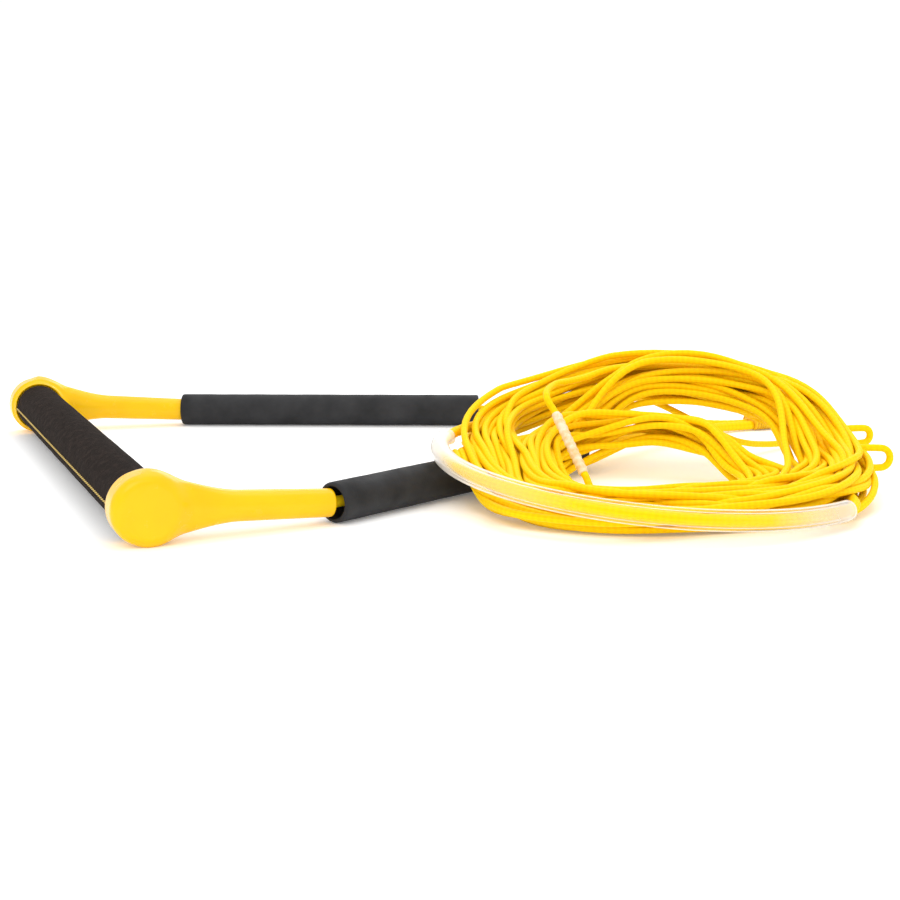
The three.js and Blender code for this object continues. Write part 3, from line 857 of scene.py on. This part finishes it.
def arm_path(side):
    """An arm rope: from its stopper in the cap, through the float, to the splice."""
    start, corner, mouth = float_mouth(side)
    beyond = mouth + float_direction(side) * (FLOAT_LENGTH + FLOAT_TRAVEL[side] + ARM_CLEARANCE)
    entry = SPLICE_START[1] + side * SPLICE_OFFSET
    # the far arm has more slack to lose, so it drops to the floor further out
    points = [start, corner, beyond, np.array(at(0.424, entry, 0.0035)), np.array(at(0.4497, entry, 0.0035))]
    trims = [0.006, 0.024, 0.020]
    path = [points[0][None]]
    for k, trim in enumerate(trims):
        a, b, c = points[k], points[k + 1], points[k + 2]
        into = (a - b) / np.linalg.norm(a - b)
        out = (c - b) / np.linalg.norm(c - b)
        path.append(quadratic(b + into * trim, b, b + out * trim, 8))
    path.append(points[-1][None])
    return resample(np.concatenate(path), 0.003)


# ---------------------------------------------------------------- ropes and what is on them

ROPE_STEP = 0.0024                   # between the rings of a rope's mesh
SWELL_LENGTH = 0.030                 # over which the line thickens into the tow loop's rope
SECTION_EYES = (("lower", -21.8, 0.019, 0.0055), ("upper", -9, 0.027, 0.0042))   # heading, height, radius
EYE_WALL, EYE_LEG, EYE_STRAIGHT = 0.1185, 0.013, 0.003   # the coil's wall, and the leg in and out of it


def braid(depth, lay):
    """How far a braided rope's surface stands out: diagonal strands in both directions."""
    def pattern(along, angle):
        phase = along / lay * 2 * math.pi
        twist = BRAID_STRANDS / 2 * angle
        return depth * np.sin(phase + twist) * np.sin(phase - twist)
    return pattern


def add_rope(name, path, diameter, material, step=ROPE_STEP, sides=10, depth=0.00006, swell=None):
    """A braided rope along a path. swell(along, length) adds to its radius."""
    fine = resample(path, step)
    total = line_length(fine)
    lumps = braid(depth, diameter * 1.7)

    def pattern(along, angle):
        out = lumps(along, angle)
        if swell is not None:
            out = out + swell(along, total)
        return out

    piece, along = tube_mesh(name, fine, diameter / 2 - depth / 2, material, "handle", sides, pattern)
    add_uv(piece, along, sides, LINE_LAY)
    return piece, fine


def section_loop(heading, height, radius):
    """A rope eye that stands out of the coil's right side; both its legs go back into the coil."""
    out = np.array((math.cos(heading), math.sin(heading), 0.0))
    shoulder = EYE_WALL + EYE_STRAIGHT
    pull = shoulder + radius * 1.32          # the Bezier pull that makes a near half circle

    def place(distance, rise):
        return COIL + out * distance + UP * (height + rise)

    t = np.linspace(0, 1, 25)[:, None]
    upper, lower = place(shoulder, radius), place(shoulder, -radius)
    bend = cubic(upper, place(pull, radius), place(pull, -radius), lower, t)
    leg = EYE_WALL - EYE_LEG
    return np.concatenate([place(leg, radius)[None], bend, place(leg, -radius)[None]])


def add_ropes():
    rope = rope_material()
    line_path = lay_mainline()

    def spliced_end(along, total):
        # the tow loop's thicker rope is tucked into the line's end
        return (ARM_ROPE - LINE) / 2 * np.clip((along - total) / SWELL_LENGTH + 1, 0, 1) ** 2

    line, fine = add_rope("mainline", line_path, LINE, rope, swell=spliced_end)
    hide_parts("leader_rope", "mainline_coil")
    whipping = add_splice()
    sleeve = add_takeoff_sleeve()

    thick_ropes = (
        ("arm_rope_near", "bridle_rope_near", arm_path(-1)), ("arm_rope_far", "bridle_rope_far", arm_path(1)),
        ("tow_loop_rope_piece", "tow_loop_rope", tow_rope_path()),
    )
    for name, node, path in thick_ropes:
        piece, fine = add_rope(name, path, ARM_ROPE, rope, sides=16, depth=0.00016)
        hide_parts(node)

    for name, heading, height, radius in SECTION_EYES:
        path = section_loop(math.radians(heading), height, radius)
        eye, fine = add_rope(f"section_eye_{name}", path, LINE, rope, step=0.0015)
        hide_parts(f"section_loop_{name}")

    tube_path = around_loop(np.linspace(LOOP_TUBE_FROM, LOOP_TUBE_TO, 160))
    tube, _ = tube_mesh(
        "clear_tube", tube_path, TUBE_RADIUS, vinyl_material(), "loop_tube", sides=36, bore=TUBE_BORE,
    )
    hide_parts("tow_loop_tube")


def add_splice():
    """Waxed twine wound round the two arm ropes and the line."""
    twine, pitch, points_per_turn = 0.0006, 0.00125, 40
    turns = int(SPLICE_LENGTH / pitch)
    turn = np.linspace(0, turns, turns * points_per_turn + 1)
    radius = SPLICE_RADIUS - twine

    def outline(angle, size):
        # two half circles with flats between them
        flat = SPLICE_OFFSET * np.tanh(6 * np.cos(angle))
        return np.stack([0 * angle, flat + size * np.cos(angle), size * np.sin(angle)], 1)

    start = np.array((BAR_X + SPLICE_START[0], *SPLICE_START[1:]))
    axis = np.array((1.0, 0.0, 0.0))
    run = twine + turn / turns * (SPLICE_LENGTH - 2 * twine)
    path = start + outline(turn * 2 * math.pi, radius) + run[:, None] * axis
    winding, _ = tube_mesh("splice_twine", path, twine, whipping_material(), "handle", sides=6)

    inner = outline(around(48), radius - 0.0002)
    vertices = []
    for run, scale in ((0.0003, 0.8), (0.001, 1), (SPLICE_LENGTH - 0.001, 1), (SPLICE_LENGTH - 0.0003, 0.8)):
        vertices.extend(start + run * axis + inner * scale)
    faces = [face[::-1] for face in rod_faces(4, len(inner))]   # they point inward
    core = add_piece("splice_core", vertices, faces, whipping_material(), "handle")
    join_into(winding, core)
    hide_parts("bridle_splice")
    return winding


def join_into(target, other):
    with bpy.context.temp_override(active_object=target, selected_editable_objects=[target, other]):
        bpy.ops.object.join()


def add_takeoff_sleeve():
    """A short translucent sleeve shrunk over one strand, a little waisted between the rope's lumps."""
    path = np.linspace(SLEEVE_TOP, SLEEVE_BOTTOM, 90)

    def lumps(along, angle):
        total = np.linalg.norm(SLEEVE_BOTTOM - SLEEVE_TOP)
        ends = 0.0003 * np.clip(1 - np.minimum(along, total - along) / 0.002, 0, 1)
        return 0.00018 * np.sin(along / 0.0042 * 2 * math.pi + angle) - ends

    sleeve, _ = tube_mesh(
        "takeoff_sleeve_piece", path, SLEEVE_RADIUS - 0.0002, sleeve_material(), "handle", sides=28,
        pattern=lumps, bore=LINE / 2 + 0.0001,
    )
    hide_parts("takeoff_sleeve")
    return sleeve


# ---------------------------------------------------------------- handle

GRIP_HALF = 0.1708                   # half the length of the cover
GRIP_RADIUS = 0.0145
COVER_THICKNESS = 0.0013
SEAM_HALF = 0.1673
STITCH_PITCH = 0.0044
HEAD_INNER = 0.1711                  # from the bar's middle to the head's inner face
HEAD_RADIUS, HEAD_THICKNESS, HEAD_ROUNDING = 0.0176, 0.0194, 0.005
HEAD_DOME = 0.0008
LIP_LENGTH, LIP_THICKNESS = 0.0025, 0.0013
FLARE_START, FLARE_LENGTH = 0.004, 0.044           # along the neck, from the head's centre
FLARE = (0.0164, 0.0142, 0.0082, 0.0079)           # the neck's half width along its flare
NECK_TAPER = 0.0006                  # what the neck loses between its flare and its tip
NECK_SIDE_LIMIT = 0.0083             # the neck is flattened to this half width across the head
TIP_ROUNDING = 0.0012
SOCKET, SOCKET_RADIUS = 0.0124, 0.0115             # the bar's end sits in it
POCKET_START, POCKET_RADIUS = 0.010, 0.0054        # the stopper's
BORE_RADIUS = 0.0037


def add_grip():
    """The suede cover, with a pinched seam on the side away from the arms."""
    stations, sides = 260, 144
    y = np.linspace(-GRIP_HALF, GRIP_HALF, stations)
    angle = around(sides)
    rng = np.random.default_rng(3)
    wave = np.zeros((stations, sides))
    for _ in range(14):
        k, m = rng.uniform(20, 140), rng.integers(1, 6)
        wave += rng.uniform(0.3, 1) * np.sin(k * y[:, None] + m * angle[None] + rng.uniform(0, 6.28))
    radius = GRIP_RADIUS - 0.00022 + 0.00002 * wave
    # 0 is +X, so the seam is at pi: two turned edges with a groove between them
    off = (angle - math.pi) * GRIP_RADIUS
    welt = 0.0005 * np.exp(-(off / 0.0016) ** 2) - 0.0009 * np.exp(-((off - 0.0026) / 0.0004) ** 2)
    pucker = 1 + 0.25 * np.cos(y / STITCH_PITCH * 2 * math.pi)
    radius = radius + welt[None] * pucker[:, None]
    tuck = 0.0006 * np.exp(-((GRIP_HALF - np.abs(y)) / 0.0015) ** 2)
    radius = radius - tuck[:, None]
    walls = np.stack([radius, np.full((stations, sides), GRIP_RADIUS - COVER_THICKNESS)])
    x, z = BAR_X + walls * np.cos(angle), BAR_Z + walls * np.sin(angle)
    vertices = np.stack([x, np.broadcast_to(y[:, None], walls.shape), z], -1).reshape(-1, 3)
    faces = pipe_faces(stations, sides)[:, ::-1].tolist()
    cover = add_piece("suede_cover", vertices, faces, suede_material(), "handle")
    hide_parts("grip_cover")


def add_stitches():
    """A saddle stitch along the seam: each stitch lies on the cover and dives into it at both ends."""
    points, sides, thread, length = 9, 8, 0.0004, 0.0031
    vertices, faces = [], []
    count = int(2 * SEAM_HALF / STITCH_PITCH)
    t = np.linspace(-1, 1, points)
    angle = math.pi + 0.00025 * t / GRIP_RADIUS
    radius = GRIP_RADIUS + 0.0007 - 0.0012 * t**6
    for k in range(count):
        middle = (k - (count - 1) / 2) * STITCH_PITCH
        path = np.stack([
            BAR_X + radius * np.cos(angle), middle + t * length / 2, BAR_Z + radius * np.sin(angle),
        ], 1)
        start = len(vertices)
        vertices.extend(rings_along(path, np.full((points, sides), thread)))
        faces.extend([start + i for i in face] for face in rod_faces(points, sides))
    stitches = add_piece("seam_stitches", vertices, faces, thread_material(), "handle")
    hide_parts("grip_seam_thread")


def surface_net(field, low, high, step):
    """Vertices and quads where a field crosses zero, one vertex in each cell that it crosses."""
    axes = [np.arange(low[k], high[k] + step, step) for k in range(3)]
    grid = np.stack(np.meshgrid(*axes, indexing="ij"), -1)
    value = field(grid.reshape(-1, 3)).reshape(grid.shape[:3])
    size = np.array(value.shape) - 1
    total, count = np.zeros((*size, 3)), np.zeros(tuple(size))
    edges = []
    for axis in range(3):
        a = value[tuple(slice(None, -1) if k == axis else slice(None) for k in range(3))]
        b = value[tuple(slice(1, None) if k == axis else slice(None) for k in range(3))]
        crossed = np.argwhere((a < 0) != (b < 0))
        va, vb = a[tuple(crossed.T)], b[tuple(crossed.T)]
        place = crossed.astype(float)
        place[:, axis] += va / (va - vb)
        others = [k for k in range(3) if k != axis]
        cells = []
        for i, j in ((0, 0), (1, 0), (1, 1), (0, 1)):
            cell = crossed.copy()
            cell[:, others[0]] -= i
            cell[:, others[1]] -= j
            cells.append(cell)
            np.add.at(total, tuple(cell.T), place)
            np.add.at(count, tuple(cell.T), 1)
        edges.append((np.stack(cells, 1), (va < 0) ^ (axis == 1)))
    used = count > 0
    number = np.full(tuple(size), -1)
    number[used] = np.arange(used.sum())
    vertices = total[used] / count[used][:, None] * step + np.array([axis[0] for axis in axes])
    faces = []
    for cells, outward in edges:
        quads = number[tuple(np.moveaxis(cells, -1, 0))]
        faces.append(np.where(outward[:, None], quads[:, ::-1], quads))
    return vertices, np.concatenate(faces)


def onto_surface(field, vertices, rounds=4):
    """Vertices moved along the field's slope onto its zero."""
    small = 2e-5
    for _ in range(rounds):
        here = field(vertices)
        slope = np.stack([field(vertices + np.eye(3)[k] * small) - here for k in range(3)], 1) / small
        steep = np.maximum((slope**2).sum(1), 0.05)
        vertices = vertices - np.clip(here / steep, -0.0004, 0.0004)[:, None] * slope
    return vertices


def smooth_union(a, b, blend):
    h = np.clip(0.5 + 0.5 * (b - a) / blend, 0, 1)
    return b * (1 - h) + a * h - blend * h * (1 - h)


def rod_field(points, foot, axis, radius, start, end):
    """Distance to a plain rod along an axis, negative inside."""
    along = (points - foot) @ axis
    across = np.linalg.norm(points - foot - along[:, None] * axis, axis=1)
    return np.maximum(across - radius, np.maximum(start - along, along - end))


def cap_field(side):
    """The end cap's shape: a head with a domed face, flowing into a neck, hollow for the bar and the rope."""
    tip = np.array((NECK_TIP[0], side * NECK_TIP[1], NECK_TIP[2]))
    centre = np.array((HEAD_CENTRE[0], side * HEAD_CENTRE[1], HEAD_CENTRE[2]))
    neck = tip - centre
    neck_length = np.linalg.norm(neck)
    neck = neck / neck_length
    out = np.array((0.0, side, 0.0))
    centre = centre + np.array((BAR_X, 0, 0))
    foot = np.array((BAR_X, side * HEAD_INNER, BAR_Z))
    across = np.cross(out, neck)
    across /= np.linalg.norm(across)
    flatwise = np.cross(neck, across)

    def field(points):
        # the head: a disc that is well rounded at its outer rim and slightly at its inner one
        rise = (points - foot) @ out
        radius = np.linalg.norm(points - foot - rise[:, None] * out, axis=1)
        dome = HEAD_THICKNESS - HEAD_DOME * (radius / HEAD_RADIUS) ** 2
        outer = np.stack([radius - (HEAD_RADIUS - HEAD_ROUNDING), rise - (dome - HEAD_ROUNDING)], 1)
        head = np.minimum(outer.max(1), 0) + np.linalg.norm(np.maximum(outer, 0), axis=1) - HEAD_ROUNDING
        head = np.maximum(head, np.maximum(0.0004 - rise, (0.0022 + radius - HEAD_RADIUS - rise) * 0.707))
        lip = np.maximum(radius - GRIP_RADIUS - LIP_THICKNESS, np.maximum(-LIP_LENGTH - rise, rise - 0.004))
        head = smooth_union(head, lip, 0.0012)
        # the neck: wide and flat at its root, round at its waist and tip
        s = (points - centre) @ neck
        wide = cubic(*FLARE, np.clip((s - FLARE_START) / FLARE_LENGTH, 0, 1))
        waist = FLARE_START + FLARE_LENGTH
        wide = wide - NECK_TAPER * np.clip((s - waist) / (neck_length - waist), 0, 1)
        thick = np.minimum(wide, NECK_SIDE_LIMIT)
        a, b = (points - centre) @ across, (points - centre) @ flatwise
        swell = np.sqrt((a / wide) ** 2 + (b / thick) ** 2)
        stem = (swell - 1) * thick
        end = np.maximum(s - neck_length, -s)
        tip_edge = np.stack([stem, end], 1) + TIP_ROUNDING
        stem = np.minimum(tip_edge.max(1), 0) + np.linalg.norm(np.maximum(tip_edge, 0), axis=1) - TIP_ROUNDING
        body = smooth_union(head, stem, 0.0065)
        body = np.maximum(body, rise - HEAD_THICKNESS + 0.0001)
        # the grip's seat, the bar's socket, the stopper's pocket and the rope's bore
        seat = rod_field(points, foot, out, GRIP_RADIUS + 0.0004, -0.01, 0.0)
        socket = rod_field(points, foot, out, SOCKET_RADIUS, -0.01, SOCKET)
        pocket = rod_field(points, centre, neck, POCKET_RADIUS, POCKET_START, STOPPER_END)
        bore = rod_field(points, centre, neck, BORE_RADIUS, STOPPER_END - 0.001, 1.0)
        return np.maximum(body, -np.minimum(np.minimum(seat, socket), np.minimum(pocket, bore)))

    return field


def add_caps():
    """One moulding each: head, lip and neck."""
    material = cap_material()
    step = 0.0006
    for side, name in ((-1, "near"), (1, "far")):
        field = cap_field(side)
        low, high = (np.array(corner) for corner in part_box(f"end_cap_{name}"))
        vertices, faces = surface_net(field, low - 0.002, high + 0.002, step)
        vertices = onto_surface(field, vertices)
        cap = add_piece(f"cap_{name}", vertices, faces.tolist(), material, "handle")
        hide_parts(f"end_cap_{name}")


def add_floats():
    foam = foam_material()
    for side, name in ((-1, "near"), (1, "far")):
        mouth = float_mouth(side)[2]
        edge, bore, recess, depth = 0.0016, 0.0039, 0.0084, 0.009
        r, long = FLOAT_RADIUS, FLOAT_LENGTH
        profile = [(recess, 0.0004), (recess + 0.0004, 0.0)]
        profile += rounded_corner(r - edge, edge, edge, -90, 0)
        for s in np.linspace(0.006, long - 0.006, 60):
            profile.append((r + 0.00004 * math.sin(s * 150) + 0.00003 * math.sin(s * 370 + 1), s))
        profile += rounded_corner(r - edge, long - edge, edge, 0, 90)
        profile += [(bore + 0.0008, long), (bore, long - 0.0015), (bore, depth), (recess, depth - 0.001)]
        vertices, faces = lathe(profile, mouth, float_direction(side), 96)
        tube = add_piece(f"foam_float_{name}", vertices, faces, foam, f"{name}_float")
        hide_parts(f"float_{name}")


def finish_inner_nodes():
    """The parts inside the bar and the caps keep their CAD shape."""
    metal, inner = metal_material(), inner_foam_material()
    for name, material in (
        ("bar_tube", metal), ("rope_stopper_near", metal), ("rope_stopper_far", metal),
        ("bar_plug_near", inner), ("bar_plug_far", inner), ("grip_underlay", inner),
    ):
        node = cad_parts[name]
        node.data.materials.clear()
        node.data.materials.append(material)


add_camera()
add_stage()
add_ropes()
add_grip()
add_stitches()
add_caps()
add_floats()
finish_inner_nodes()
